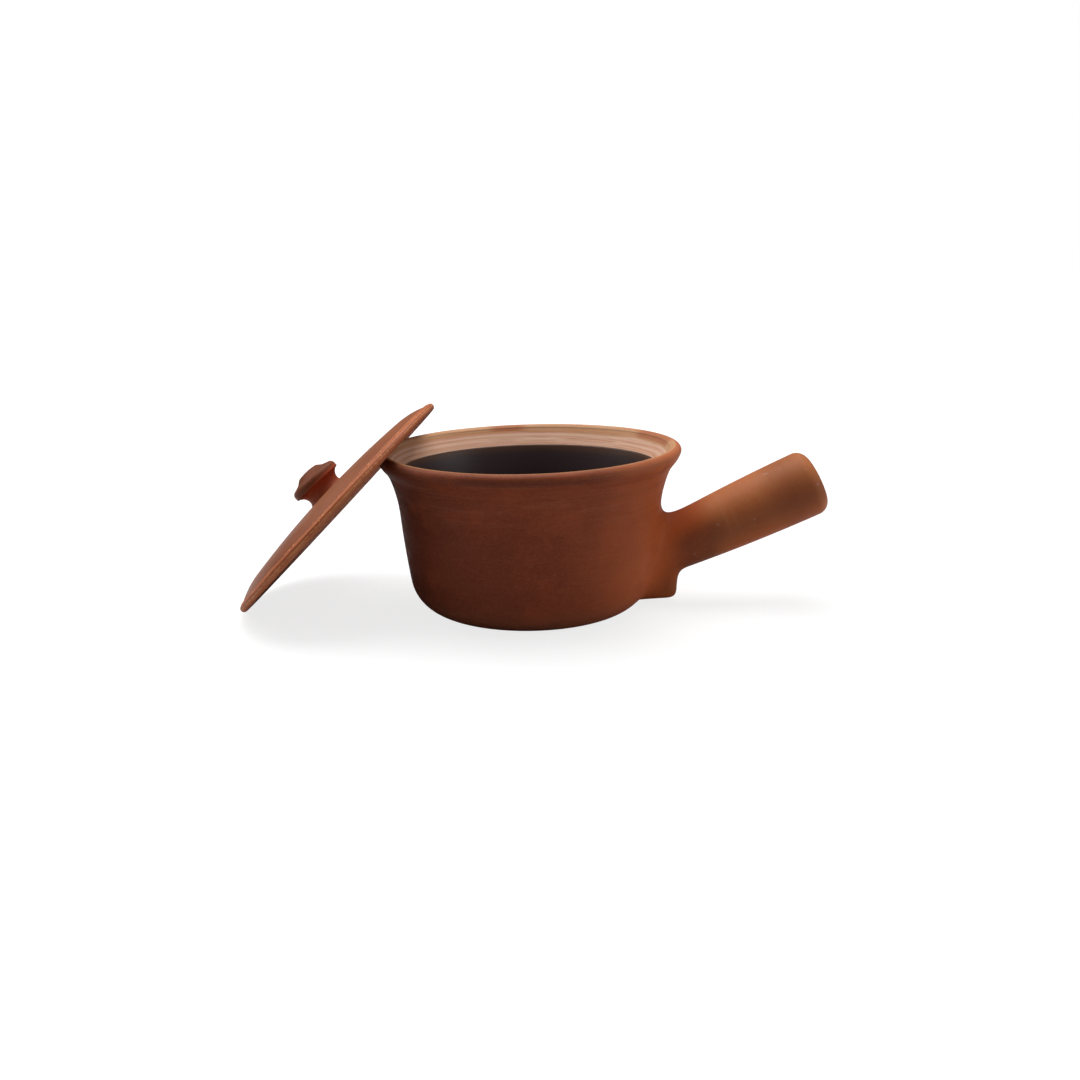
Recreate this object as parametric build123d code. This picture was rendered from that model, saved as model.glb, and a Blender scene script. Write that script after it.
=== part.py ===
"""Clay sand pot: a thrown saucepan with a hollow stick handle, a foot block under the handle and a loose lid.

The origin is the centre of the pot's flat base, on the table. +Z is up and +X runs along the handle.
The lid lies as it is set down in use: off the pot, leaning on the lip opposite the handle, with its
lower edge on the table. All lengths are millimetres and all angles are degrees.
"""
from build123d import *
from math import asin, atan2, cos, degrees, hypot, radians, sin, sqrt, tan
import os

# Thrown bowl
rim_diameter = 200.0
pot_height = 108.2
lip_overhang = 14.0
neck_drop = 42.2
base_inset = 30.5
heel_radius = 25.0
wall_lean = 9.5
wall_thickness = 7.0
lip_roll_radius = 4.2
lip_crease_inset = 8.4
lip_band_height = 16.9
gallery_width = 15.3
throat_drop = 12.7
glaze_thickness = 0.6

# Hollow stick handle, its length and root height taken on its axis from the bowl's neck,
# and its root diameter where it ends inside the wall
handle_rise = 23.9
handle_length = 114.5
handle_root_height = 36.2
handle_root_diameter = 28.5
handle_end_diameter = 44.1
handle_clay_thickness = 6.5
handle_end_rounding = 8.5
handle_hollow_rounding = 4.0
vent_diameter = 3.5

# Clay worked round the handle's root, with the foot block below it
root_blend_radius = 8.0
foot_side_inset = 2.25
foot_projection = 10.7
foot_table_gap = 5.6
foot_corner_radius = 7.0
foot_toe_radius = 4.0
foot_draft = 3.0
seat_gap = 0.05

# Lid, which sits in the gallery inside the lip
lid_side_clearance = 2.3
lid_dome_height = 14.4
lid_shoulder_inset = 21.5
lid_shoulder_height = 10.4
lid_band_width = 7.0
lid_band_height = 6.6
lid_band_step = 0.5
lid_nose_radius = 2.5
lid_hollow_depth = 8.2
lid_ceiling_inset = 38.5
lid_rest_width = 2.5

# Knob, with its heights above the top of the dome and its offset from the lid's middle
knob_root_diameter = 28.0
knob_neck_diameter = 25.0
knob_neck_height = 2.5
knob_flange_diameter = 35.4
knob_flange_height = 8.5
knob_flange_thickness = 2.5
knob_table_diameter = 31.4
knob_table_height = 14.0
knob_crown_diameter = 22.0
knob_crown_height = 15.6
knob_button_diameter = 15.0
knob_button_height = 18.2
knob_height = 19.0
knob_offset = 2.0

# How the lid leans on the pot, with its upper edge reaching up past the lip
lid_overreach = 44.3
lean_turn = -3.7
rest_clearance = 0.3

# Length by which a cut runs past the face that it has to clear, and distance at which two skins count as one
overrun = 5.0
touch_tolerance = 0.005

rim_radius = rim_diameter / 2
neck_radius = rim_radius - lip_overhang
base_radius = neck_radius - base_inset
throat_radius = rim_radius - gallery_width
neck_height = pot_height - neck_drop
throat_height = pot_height - throat_drop
lip_centre = (rim_radius - lip_roll_radius, pot_height - lip_roll_radius)
handle_reach = neck_radius + handle_length * cos(radians(handle_rise))
handle_end_height = handle_root_height + handle_length * sin(radians(handle_rise))
foot_reach = neck_radius + foot_projection
foot_width = handle_root_diameter - 2 * foot_side_inset
lid_radius = lip_centre[0] - lid_side_clearance
lid_nose_centre = (lid_radius - lid_nose_radius, lid_nose_radius)


def revolved(curves):
    """Solid of revolution about Z of the closed outline that the curves make in the XZ plane.

    It is turned by half a turn, so that its seam lies opposite the handle.
    """
    outline = Curve() + curves
    return Rot(0, 0, 180) * revolve(make_face(Plane.XZ * outline), Axis.Z, revolution_arc=360)


def touch_point(start, centre, radius, side):
    """Where the straight line from a start touches a circle, on its left (1) or right (-1) side."""
    run = centre[0] - start[0]
    climb = centre[1] - start[1]
    reach = hypot(run, climb)
    along = sqrt(reach ** 2 - radius ** 2)
    turn_cos = along / reach
    turn_sin = side * radius / reach
    step = along / reach
    x = start[0] + step * (run * turn_cos - climb * turn_sin)
    y = start[1] + step * (climb * turn_cos + run * turn_sin)
    return x, y


def wall_curves(inset):
    """Base, heel and wall of the bowl's section up to the neck, set in by a distance from its outside."""
    heel = heel_radius - inset
    floor_height = heel_radius - heel
    lean = radians(wall_lean)
    half_turn = radians((90 + wall_lean) / 2)
    heel_top = (base_radius + heel * cos(lean), heel_radius - heel * sin(lean))
    heel_middle = (base_radius + heel * cos(half_turn), heel_radius - heel * sin(half_turn))
    floor = Line((0, floor_height), (base_radius, floor_height))
    heel_arc = ThreePointArc(floor @ 1, heel_middle, heel_top)
    wall = TangentArc(heel_top, (neck_radius - inset, neck_height), tangent=heel_arc % 1)
    return [floor, heel_arc, wall]


def outer_form(outset=0):
    """The bowl's outside as one full solid, closed over at the top of the lip, with an even skin added."""
    curves = wall_curves(-outset)
    crease = (rim_radius - lip_crease_inset + outset, pot_height - lip_band_height)
    widest = (rim_radius + outset, lip_centre[1])
    crest = (lip_centre[0], pot_height + outset)
    flare = TangentArc(curves[-1] @ 1, crease, tangent=curves[-1] % 1)
    roll_side = TangentArc(widest, crease, tangent=(0, -1))
    roll_top = TangentArc(widest, crest, tangent=(0, 1))
    middle = Polyline(crest, (0, crest[1]), curves[0] @ 0)
    return revolved(curves + [flare, roll_side, roll_top, middle])


def cup_space(inset):
    """The space below the throat, inside a wall of the given thickness."""
    curves = wall_curves(inset)
    throat = (throat_radius + wall_thickness - inset, throat_height)
    funnel = TangentArc(curves[-1] @ 1, throat, tangent=curves[-1] % 1)
    top = Line(throat, (0, throat_height))
    middle = Line((0, throat_height), curves[0] @ 0)
    return revolved(curves + [funnel, top, middle])


def mouth_space():
    """The space in the flared gallery above the throat, and the open air inside the lip's roll."""
    throat = (throat_radius, throat_height)
    crest = (lip_centre[0], pot_height)
    air = pot_height + overrun
    gallery = Line(throat, touch_point(throat, lip_centre, lip_roll_radius, 1))
    roll = TangentArc(crest, gallery @ 1, tangent=(-1, 0))
    above = Polyline(crest, (crest[0], air), (0, air), (0, throat_height), throat)
    return revolved([gallery, roll, above])


def make_bowl():
    return outer_form() - cup_space(wall_thickness) - mouth_space()


def make_glaze():
    """The glaze coat on the inside of the bowl, from the floor up to the throat."""
    return cup_space(wall_thickness) - cup_space(wall_thickness + glaze_thickness)


def handle_plane():
    """Plane with its origin at the middle of the handle's end and its normal out along the handle."""
    rise = radians(handle_rise)
    return Plane(origin=(handle_reach, 0, handle_end_height), x_dir=(0, 1, 0), z_dir=(cos(rise), 0, sin(rise)))


def handle_form(inset, rounding):
    """The handle's outside, or with an inset its hollow, running back into the bowl's outer form.

    It swells from its root in one long curve, which runs along the axis where it reaches the end.
    """
    root_radius = handle_root_diameter / 2 - inset
    end_radius = handle_end_diameter / 2 - inset
    length = handle_length + root_radius / cos(radians(handle_rise))
    end = Line((0, -inset), (end_radius, -inset))
    side = TangentArc(end @ 1, (root_radius, -length), tangent=(0, -1))
    inside = Polyline(side @ 1, (0, -length), end @ 0)
    section = make_face(Curve() + [end, side, inside])
    rim = section.vertices().sort_by(Axis.X)[-1]
    section = fillet(rim, rounding)
    return handle_plane() * revolve(Plane.XZ * section, Axis.Z, revolution_arc=360)


def make_handle():
    """The hollow stick, closed at its end but for the vent hole, and fitted against the bowl."""
    stick = handle_form(0, handle_end_rounding) - handle_form(handle_clay_thickness, handle_hollow_rounding)
    vent = handle_plane() * Cylinder(vent_diameter / 2, 2 * (handle_clay_thickness + overrun))
    return stick - vent - outer_form()


def foot_form():
    """The block under the handle, from inside the bowl's wall out to its upright face."""
    length = foot_reach - base_radius
    climb = handle_root_height + foot_projection * tan(radians(handle_rise)) - foot_table_gap
    plan = Pos(base_radius + length / 2, 0, foot_table_gap) * Rectangle(length, foot_width)
    plan = fillet(plan.vertices().group_by(Axis.X)[-1], foot_corner_radius)
    toe = (foot_reach, foot_table_gap)
    side = Polyline(
        (0, foot_table_gap),
        toe,
        (foot_reach + climb * tan(radians(foot_draft)), foot_table_gap + climb),
        (0, foot_table_gap + climb),
        close=True,
    )
    profile = make_face(side)
    profile = fillet(profile.vertices().sort_by_distance((*toe, 0))[0], foot_toe_radius)
    return extrude(plan, climb, taper=-foot_draft) & extrude(Plane.XZ * profile, foot_width, both=True)


def on_skin(edge, form):
    """True where an edge lies on the skin of a form."""
    middle = Vertex(*(edge @ 0.5))
    return min(face.distance_to(middle) for face in form.faces()) < touch_tolerance


def make_root():
    """The foot block and the clay that is worked round the handle's root, as one piece."""
    forms = [outer_form(), handle_form(0, handle_end_rounding), foot_form()]
    joined = forms[0] + forms[1] + forms[2]
    meetings = [edge for edge in joined.edges() if sum(on_skin(edge, form) for form in forms) > 1]
    above_sole = [edge for edge in meetings if edge.bounding_box().max.Z > foot_table_gap + touch_tolerance]
    bowl_seat = outer_form(seat_gap)
    stick_seat = handle_form(-seat_gap, handle_end_rounding + seat_gap)
    return fillet(above_sole, root_blend_radius) - (bowl_seat + stick_seat)


def make_lid():
    """The lid's disc: a low dome over a hollow underside, edge down on the XY plane."""
    apex = (0, lid_dome_height)
    shoulder = (lid_radius - lid_shoulder_inset, lid_shoulder_height)
    ridge = (lid_radius - lid_band_width, lid_band_height)
    band_top = (ridge[0], ridge[1] - lid_band_step)
    band_end = touch_point(band_top, lid_nose_centre, lid_nose_radius, 1)
    rest_outside = (lid_nose_centre[0], 0)
    rest_inside = (lid_nose_centre[0] - lid_rest_width, 0)
    ceiling_edge = (lid_radius - lid_ceiling_inset, lid_hollow_depth)
    crown = TangentArc(apex, shoulder, tangent=(1, 0))
    fall = TangentArc(shoulder, ridge, tangent=crown % 1)
    band = Polyline(ridge, band_top, band_end)
    nose = TangentArc(rest_outside, band_end, tangent=(1, 0))
    rest = Line(rest_outside, rest_inside)
    hollow = TangentArc(ceiling_edge, rest_inside, tangent=(1, 0))
    ceiling = Polyline(ceiling_edge, (0, lid_hollow_depth), apex)
    return revolved([crown, fall, band, nose, rest, hollow, ceiling])


def make_knob():
    """The turned knob: a waisted neck, a flange and a stepped crown, luted on the top of the dome."""
    top = lid_dome_height
    sunk = (knob_root_diameter / 2, lid_hollow_depth)
    root = (knob_root_diameter / 2, top)
    neck = (knob_neck_diameter / 2, top + knob_neck_height)
    flange_low = (knob_flange_diameter / 2, top + knob_flange_height)
    flange_high = (knob_flange_diameter / 2, top + knob_flange_height + knob_flange_thickness)
    table = (knob_table_diameter / 2, top + knob_table_height)
    crown = (knob_crown_diameter / 2, top + knob_crown_height)
    button = (knob_button_diameter / 2, top + knob_button_height)
    summit = (0, top + knob_height)
    waist_low = TangentArc(neck, root, tangent=(0, -1))
    waist_high = TangentArc(neck, flange_low, tangent=(0, 1))
    flange = Line(flange_low, flange_high)
    flange_top = TangentArc(flange_high, table, tangent=(0, 1))
    step = Line(table, crown)
    crown_side = Line(crown, button)
    button_top = TangentArc(summit, button, tangent=(1, 0))
    stem = Polyline(summit, (0, lid_hollow_depth), sunk, root)
    knob = revolved([waist_low, waist_high, flange, flange_top, step, crown_side, button_top, stem])
    return Pos(knob_offset, 0, 0) * knob - make_lid()


def lean():
    """Move from the lid's own frame to its place: edge on the table, hollow side against the lip.

    The tilt is the one at which the lid, standing on its lower edge, has the centre of the lip's roll
    as far up its slope as the overreach says, and as deep under its hollow as the roll and clearance.
    """
    up_slope = lid_radius - lid_overreach
    above_rest = lid_hollow_depth - lip_roll_radius - rest_clearance
    run = lid_nose_centre[0] + up_slope
    rise = above_rest - lid_nose_radius
    tilt = asin((lip_centre[1] - lid_nose_radius) / hypot(run, rise)) - atan2(rise, run)
    away = lip_centre[0] + up_slope * cos(tilt) - above_rest * sin(tilt)
    height = lip_centre[1] - up_slope * sin(tilt) - above_rest * cos(tilt)
    return Rot(0, 0, lean_turn) * Pos(-away, 0, height) * Rot(0, -degrees(tilt), 0)


def main():
    nodes = {
        "bowl": make_bowl(),
        "inner_glaze": make_glaze(),
        "stick_handle": make_handle(),
        "handle_root_and_foot": make_root(),
        "lid_dome": lean() * make_lid(),
        "lid_knob": lean() * make_knob(),
    }
    os.makedirs("parts", exist_ok=True)
    for name, solid in nodes.items():
        solid.label = name
        export_step(solid, f"parts/{name}.step")


main()
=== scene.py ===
"""The looks of a clay sand pot: a thrown saucepan with a stick handle, a foot under it and a loose lid.

The pot stands on the floor with the origin under its middle, and its handle runs along +X. The lid leans on
the lip opposite the handle. Profiles and fields are worked out in millimetres and scaled once, in new_piece.
A colour zone that has an edge of its own lies between its two values. Any other zone is absent at its first
value and full at its second.
"""
import bpy
import math
import numpy as np
from mathutils import Matrix, Vector


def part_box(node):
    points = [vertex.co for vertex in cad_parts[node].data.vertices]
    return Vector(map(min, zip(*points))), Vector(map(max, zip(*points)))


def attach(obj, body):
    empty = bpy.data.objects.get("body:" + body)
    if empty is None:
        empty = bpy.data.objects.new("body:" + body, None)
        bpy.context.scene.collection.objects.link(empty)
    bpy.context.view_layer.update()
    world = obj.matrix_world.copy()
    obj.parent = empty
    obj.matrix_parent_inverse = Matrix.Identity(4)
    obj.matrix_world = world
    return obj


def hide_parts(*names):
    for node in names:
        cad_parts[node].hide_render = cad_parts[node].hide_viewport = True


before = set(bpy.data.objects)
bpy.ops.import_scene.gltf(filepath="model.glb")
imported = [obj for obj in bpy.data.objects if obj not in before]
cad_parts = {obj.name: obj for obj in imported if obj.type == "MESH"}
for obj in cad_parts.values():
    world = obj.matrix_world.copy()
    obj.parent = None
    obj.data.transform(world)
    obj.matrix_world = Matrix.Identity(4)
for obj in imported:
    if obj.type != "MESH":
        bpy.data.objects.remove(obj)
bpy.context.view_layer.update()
MM = 0.001

# Bowl, with its rim and height read from the frame
rim_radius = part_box("bowl")[1].x / MM
pot_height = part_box("bowl")[1].z / MM
lip_overhang = 14.0
neck_drop = 42.2
base_inset = 30.5
neck_radius = rim_radius - lip_overhang
neck_height = pot_height - neck_drop
base_radius = neck_radius - base_inset
heel_radius = 25.0
wall_lean = math.radians(9.5)
wall_thickness = 7.0
lip_roll_radius = 4.2
lip_crease_inset = 6.4
lip_band_height = 13.0
lip_undercut = 0.3
lip_crest = (rim_radius - lip_roll_radius, pot_height)
lip_step_depth = 0.35
gallery_width = 15.3
throat_drop = 13.2
throat_radius = rim_radius - gallery_width
throat_height = pot_height - throat_drop
glaze_thickness = 0.6
glaze_backing = 0.02
crease_wear = 24
outline_wear = 3
rim_rise = 1.1
rim_fall = 0.7
rim_dip = 1.4
hand_wobble = 0.2
wobble_reach = 0.3

# Handle, from the bowl's neck along its axis, and the foot block under it
handle_rise = math.radians(24.15)
handle_length = 114.5
handle_root_height = 35.6
handle_root_radius = 15.3
handle_end_radius = 22.05
handle_end_rounding = 8.5
handle_end_droop = 0.9
vent_radius = 1.75
vent_depth = 12.0
vent_edge_rounding = 0.5
foot_half_width = 12.0
foot_projection = 11.0
foot_reach = neck_radius + foot_projection
foot_gap = 5.0
foot_corner_radius = 7.0
foot_sole_rounding = 3.5
foot_sole_rise = math.tan(math.radians(2.5))
foot_draft = math.tan(math.radians(3))
root_blend = 26.0
foot_blend = 9.0
root_reach = 0.8 * root_blend
root_sink = 0.004
root_low = (60.0, -46.0, 1.0)
root_high = (150.0, 46.0, 90.0)
root_cell = 0.8
root_move_limit = 0.3

# Lid, in its own frame: edge down on the XY plane
lid_clearance = 2.3
lid_radius = lip_crest[0] - lid_clearance
lid_dome_height = 14.9
lid_shoulder_inset = 24.0
lid_shoulder_height = 11.1
lid_shoulder = (lid_radius - lid_shoulder_inset, lid_shoulder_height)
lid_band_width = 5.6
lid_band_height = 5.9
lid_ridge = (lid_radius - lid_band_width, lid_band_height)
lid_band_step = 0.2
lid_band_bulge = 0.35
lid_band_points = 12
lid_nose_radius = 2.5
lid_hollow_depth = 8.2
lid_ceiling_inset = 38.5
lid_ceiling_radius = lid_radius - lid_ceiling_inset
lid_rest_width = 2.5
lid_overreach = 44.3
lid_turn = math.radians(-3.7)
lid_rest_clearance = 0.3
lid_settling = 0.4

# Knob, with heights over the top of the dome
knob_foot = (14.0, -1.0)
knob_waist = (12.5, 2.5)
knob_flange_low = (17.7, 8.5)
knob_flange_high = (17.7, 11.0)
knob_table = (15.7, 14.0)
knob_crown = (11.0, 15.6)
knob_button = (7.5, 18.2)
knob_summit = (0, 19.0)
knob_offset = 2.0
knob_tilt = math.radians(4)

# Zones of the fired clay: along X, over the handle's axis, and in height
# From brown on the left to orange towards the handle: partly the clay's own colour, partly painted shade on
# the left side and painted light from the right
brown_to_red = (-110.0, 20.0)
red_to_orange = (20.0, 105.0)
orange_to_handle = (94.0, 124.0)
# Painted shade round the handle's root, kept off the handle's top
root_shade = (neck_radius + 10.0, neck_radius + 38.0)
root_shade_edge = 8.0
root_shade_top = (15.0, 3.0)
# Painted shade on the pot's left side, darkest high up
left_shade_zone = (-30.0, -110.0)
left_shade_heights = (30.0, 100.0)
zone_drift = 35.0

# Zones of the bowl: heights, places along X, distances from the axis, and angles round the rim
ringed_wall = (62.0, 84.0)
dusty_foot = (24.0, 4.0)
# Painted shade under the lip's roll, on the front
under_lip_shade_heights = (pot_height - 8.5, pot_height - 4.2)
under_lip_shade_edge = 1.6
under_lip_shade_span = (math.radians(-118), math.radians(-62))
under_lip_shade_span_edge = 0.3
# Painted shadow of the lid on the lip beside it
lid_shadow_zone = (-80.0, -94.0)
lid_shadow_heights = (88.0, 98.0)
# A painted highlight on top of the lip's roll, growing towards the right
lip_highlight_zone = (10.0, rim_radius)
lip_highlight_heights = (pot_height - 7.0, pot_height - 2.0)
crest_zone = (lip_crest[0] + 1.5, lip_crest[0] - 0.5)
crest_heights = (pot_height - 2.5, pot_height - 1.2)
gallery_zone = (lip_crest[0] - 0.1, lip_crest[0] - 1.1)
gallery_slope_share = 0.55
throat_edge = (throat_height - 1.0, throat_height + 0.2)
olive_heights = (pot_height - 5.4, pot_height - 3.8)
olive_drift = 2.0
brush_spans = ((math.radians(92), math.radians(107)), (math.radians(4), math.radians(34)))
brush_span_edge = 0.06
brush_heights = (pot_height - 3.6, pot_height - 2.0)
brush_raggedness = 2.0
glaze_edge = (throat_height - 6.5, throat_height + 0.5)
glaze_edge_drift = 1.5

# Zones of the handle: along its axis, and downward across it
past_root_zone = (30.0, 46.0)
# Painted shade along the middle of the handle's side
shaded_flank_zone = (-4.0, 12.0)
shaded_flank_edge = 7.0
# Painted bounce light on the handle's underside
bounce_lit_underside = (4.0, 18.0)
# Painted light on the handle's top
lit_top_zone = (-3.0, -17.0)
# The ring round the handle, painted pale on its upper side as a highlight
bright_ring_zone = (47.5, 49.0)
bright_ring_edge = 1.5
ring_highlight_side = (6.0, -6.0)
# Painted shade towards the end, and painted light on the end's lower corner
end_shade = (handle_length - 34.0, handle_length - 9.0)
end_shade_edge = 12.0
lit_end_zone = (handle_length - 9.0, handle_length - 1.0)
smear_zone = (neck_radius + 24.0, neck_radius + 10.0)
pale_foot = (26.0, 8.0)

# Zones of the lid: distances from its axis, and heights over its edge
lid_outer_zone = (lid_ridge[0] - 16.0, lid_ridge[0])
lid_band_zone = (lid_ridge[0] - 0.3, lid_ridge[0] + 0.3)
lid_band_foot = (0.4, 0.9)
# A painted highlight of gold flecks on the turned ridge
lid_ridge_zone = (lid_ridge[0] - 0.1, lid_ridge[0] + 0.25)
lid_ridge_edge = 0.2
# A painted shade line on the lid's band
lid_shade_line = (3.2, 3.7)
# A line of painted highlight flecks below the shade line
lid_highlight_line = (1.2, 2.8)
lid_line_edge = 0.4
# A painted highlight on the nose that the lid rests on
lid_nose_highlight_zone = (1.4, 0.6)
lid_beneath_zone = (9.7, 8.9)
lid_beneath_radius = 60.0
lid_beneath_slope = 0.2
knob_top_zone = (lid_dome_height + 7.5, lid_dome_height + 10.5)

# Sizes and depths of the marks in the clay
zone_drift_size = 55.0
ring_wander_size = 60.0
blotch_size = 24.0
grain_size = 1.1
grain_depth = 0.05
speck_spacing = 15.0
speck_radius = 0.45
ring_pitch = 1.6
ring_depth = 0.10
wide_ring_pitch = 7.0
wide_ring_depth = 0.35
scrape_pitch = 0.9
gallery_band_pitch = 2.6
red_line_pitch = 1.9
olive_size = 30.0
sheen_size = 9.0
rib_pitch = 5.0
rib_depth = 0.30
handle_ring_pitch = 1.3
handle_ring_depth = 0.05
handle_sheen_size = 8.0
scuff_size = 7.0
smear_size = 11.0
smear_depth = 0.30
glaze_ring_pitch = 5.0
glaze_ring_depth = 0.15
glaze_cloud_size = 60.0
glaze_dimple_size = 1.5
glaze_dimple_depth = 0.02
lid_cloud_size = 30.0
lid_ring_pitch = 1.4
lid_ring_depth = 0.06
lid_wide_ring_pitch = 5.0
lid_wide_ring_depth = 0.2
lid_grain_size = 1.0
lid_grain_depth = 0.03
chatter_pitch = 0.7
ridge_fleck_size = 1.4
glint_size = 1.6
highlight_fleck_size = 3.0
knob_cloud_size = 9.0
knob_ring_pitch = 1.2
knob_ring_depth = 0.12
knob_grain_depth = 0.04

# Parts of a noise, from 0 to 1, that marks fade in between
even_marks = (0.35, 0.65)
all_marks = (0.35, 0.7)
most_marks = (0.45, 0.7)
strong_marks = (0.5, 0.75)


def srgb(red, green, blue):
    """A shader colour from a colour as a picture shows it, 0 to 255."""
    shares = [value / 255 for value in (red, green, blue)]
    return tuple(v / 12.92 if v < 0.04045 else ((v + 0.055) / 1.055) ** 2.4 for v in shares) + (1,)


# Colours of the clay and the glaze in even white light, with the colours of painted light and shade among
# them
clay_brown = srgb(110, 46, 27)
clay_red = srgb(122, 54, 30)
clay_orange = srgb(180, 88, 42)
clay_handle = srgb(164, 93, 52)
clay_blush = srgb(154, 70, 38)
# Colours of painted shade
painted_shade_brown = srgb(66, 30, 22)
painted_shade_umber = srgb(106, 56, 38)
clay_dust = srgb(176, 116, 84)
clay_pale = srgb(184, 122, 88)
clay_speck = srgb(222, 180, 150)
# Colour of painted light on the handle's top
painted_top_light = srgb(190, 120, 74)
scuff_grey = srgb(190, 165, 155)
gallery_red = srgb(190, 130, 104)
gallery_tan = srgb(212, 168, 138)
gallery_pale = srgb(222, 184, 160)
gallery_olive = srgb(182, 132, 86)
glaze_black = srgb(46, 35, 34)
glaze_blue = srgb(62, 46, 50)
glaze_brown = srgb(88, 60, 42)
lid_brown = srgb(134, 74, 43)
lid_tan = srgb(150, 87, 50)
lid_red = srgb(142, 73, 38)
band_red = srgb(146, 71, 36)
band_orange = srgb(186, 103, 56)
# Colour of painted highlights on the lid
painted_highlight_gold = srgb(242, 176, 108)
knob_red = srgb(166, 80, 52)
knob_brown = srgb(114, 62, 38)

# Camera at the photograph's viewpoint, in metres, with its lens and sensor in millimetres
camera_distance = 0.8
camera_elevation = math.radians(13.12)
camera_roll = math.radians(-1.14)
camera_lens = 39.98
camera_sensor = 36
camera_shift = (0.0090, -0.0131)
camera_near = 0.01

# Stage, in metres: a floor whose glow grows with distance, and lamps with their name, place, size and power
floor_half_width = 6.0
floor_fade = (0.25, 1.0)
floor_glow = (0.79, 1.0)
floor_seen_grey = 0.28
floor_bounce_grey = 0.62
world_strength = 0.15
lamp_target = (0, 0, 0.06)
lamps = (
    ("top", (-0.05, 0.25, 1.3), 1.2, 20),
    ("left", (-1.1, 0.35, 0.9), 0.8, 5.5),
    ("right", (1.45, -0.25, 0.5), 0.8, 5.2),
)


def arc_to(start, heading, end, count):
    """Points of the arc that leaves start along heading and ends at end, and the heading there."""
    start, end = np.array(start, float), np.array(end, float)
    heading = np.array(heading, float) / np.hypot(*heading)
    side = np.array([-heading[1], heading[0]])
    chord = end - start
    turn = 2 * math.atan2(chord @ side, chord @ heading)
    share = np.linspace(0, 1, count + 1)[1:]
    if abs(turn) < 1e-6:
        return start + share[:, None] * chord, heading
    radius = (chord @ chord) / (2 * chord @ side)
    across = np.sin(turn * share)[:, None] * heading
    inward = (1 - np.cos(turn * share))[:, None] * side
    return start + radius * (across + inward), math.cos(turn) * heading + math.sin(turn) * side


def line_to(start, end, count):
    """Evenly spaced points from start to end, without start itself."""
    share = np.linspace(0, 1, count + 1)[1:, None]
    return np.array(start, float) * (1 - share) + np.array(end, float) * share


def touch_point(start, centre, radius, side):
    """Where the straight line from a start touches a circle, on its left (1) or right (-1) side."""
    run, climb = centre[0] - start[0], centre[1] - start[1]
    reach = math.hypot(run, climb)
    along = math.sqrt(reach ** 2 - radius ** 2)
    turn_cos, turn_sin = along / reach, side * radius / reach
    step = along / reach
    return (start[0] + step * (run * turn_cos - climb * turn_sin),
            start[1] + step * (climb * turn_cos + run * turn_sin))


def eased(points, passes):
    """The same outline with its corners worn round by repeated averaging."""
    points = points.copy()
    for _ in range(passes):
        points[1:-1] = (points[:-2] + 2 * points[1:-1] + points[2:]) / 4
    return points


def wall_points(inset):
    """Heel and wall of the bowl's section up to the neck, set in by a distance from its outside."""
    heel = heel_radius - inset
    floor = (base_radius, inset)
    heel_top = (base_radius + heel * math.cos(wall_lean), heel_radius - heel * math.sin(wall_lean))
    heel_arc, heading = arc_to(floor, (1, 0), heel_top, 40)
    wall, heading = arc_to(heel_top, heading, (neck_radius - inset, neck_height), 60)
    return np.vstack([[floor], heel_arc, wall]), heading


def outer_points():
    """The bowl's outside section, from the edge of its flat base to the crest of the lip.

    The crease under the lip is worn round, and the lip's upper half keeps its roll.
    """
    wall, heading = wall_points(0)
    crease = (rim_radius - lip_crease_inset, pot_height - lip_band_height)
    widest = (rim_radius, pot_height - lip_roll_radius)
    flare, _ = arc_to(wall[-1], heading, crease, 40)
    roll_side, _ = arc_to(widest, (-lip_undercut, -1), crease, 16)
    roll_top, _ = arc_to(widest, (0, 1), lip_crest, 12)
    sharp = np.vstack([flare, roll_side[-2::-1], [widest], roll_top])
    worn = eased(sharp, crease_wear)
    worn_below = pot_height - lip_band_height / 2
    crisp_above = pot_height - lip_band_height / 4
    crisp = np.interp(sharp[:, 1], (worn_below, crisp_above), (0, 1))[:, None]
    return np.vstack([wall, worn + crisp * (sharp - worn)])


def gallery_points():
    """The section from the lip's crest over its inner step and down the flared gallery to the throat."""
    throat = (throat_radius, throat_height)
    centre = (lip_crest[0], pot_height - lip_roll_radius)
    touch = touch_point(throat, centre, lip_roll_radius, 1)
    roll, _ = arc_to(lip_crest, (-1, 0), touch, 10)
    step_foot = (touch[0] - lip_step_depth / 4, touch[1] - lip_step_depth)
    return np.vstack([roll, line_to(touch, step_foot, 4), line_to(step_foot, throat, 24)])


def cup_points(inset):
    """The section of the inside from the throat down to the middle of the floor."""
    wall, heading = wall_points(inset)
    throat = (throat_radius + wall_thickness - inset, throat_height)
    funnel, _ = arc_to(wall[-1], heading, throat, 30)
    up = np.vstack([wall, funnel])
    return np.vstack([up[::-1], line_to(up[0], (0, inset), 30)])


def lathe(profile, segments):
    """Vertices and faces of the surface that the section (radius, height) sweeps round Z.

    A point on the axis becomes one vertex, and the ends of an open section are left as they are.
    """
    angles = np.linspace(0, 2 * math.pi, segments, endpoint=False)
    vertices, rings, count = [], [], 0
    for radius, height in profile:
        if radius < 1e-6:
            vertices.append([[0, 0, height]])
            rings.append([count] * segments)
            count += 1
        else:
            ring = np.stack([radius * np.cos(angles), radius * np.sin(angles), np.full(segments, height)], 1)
            vertices.append(ring)
            rings.append(list(range(count, count + segments)))
            count += segments
    faces = []
    for low, high in zip(rings[:-1], rings[1:]):
        for i in range(segments):
            j = (i + 1) % segments
            corners = [low[i], low[j], high[j], high[i]]
            faces.append(list(dict.fromkeys(corners)))
    return np.vstack(vertices), faces


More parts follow.
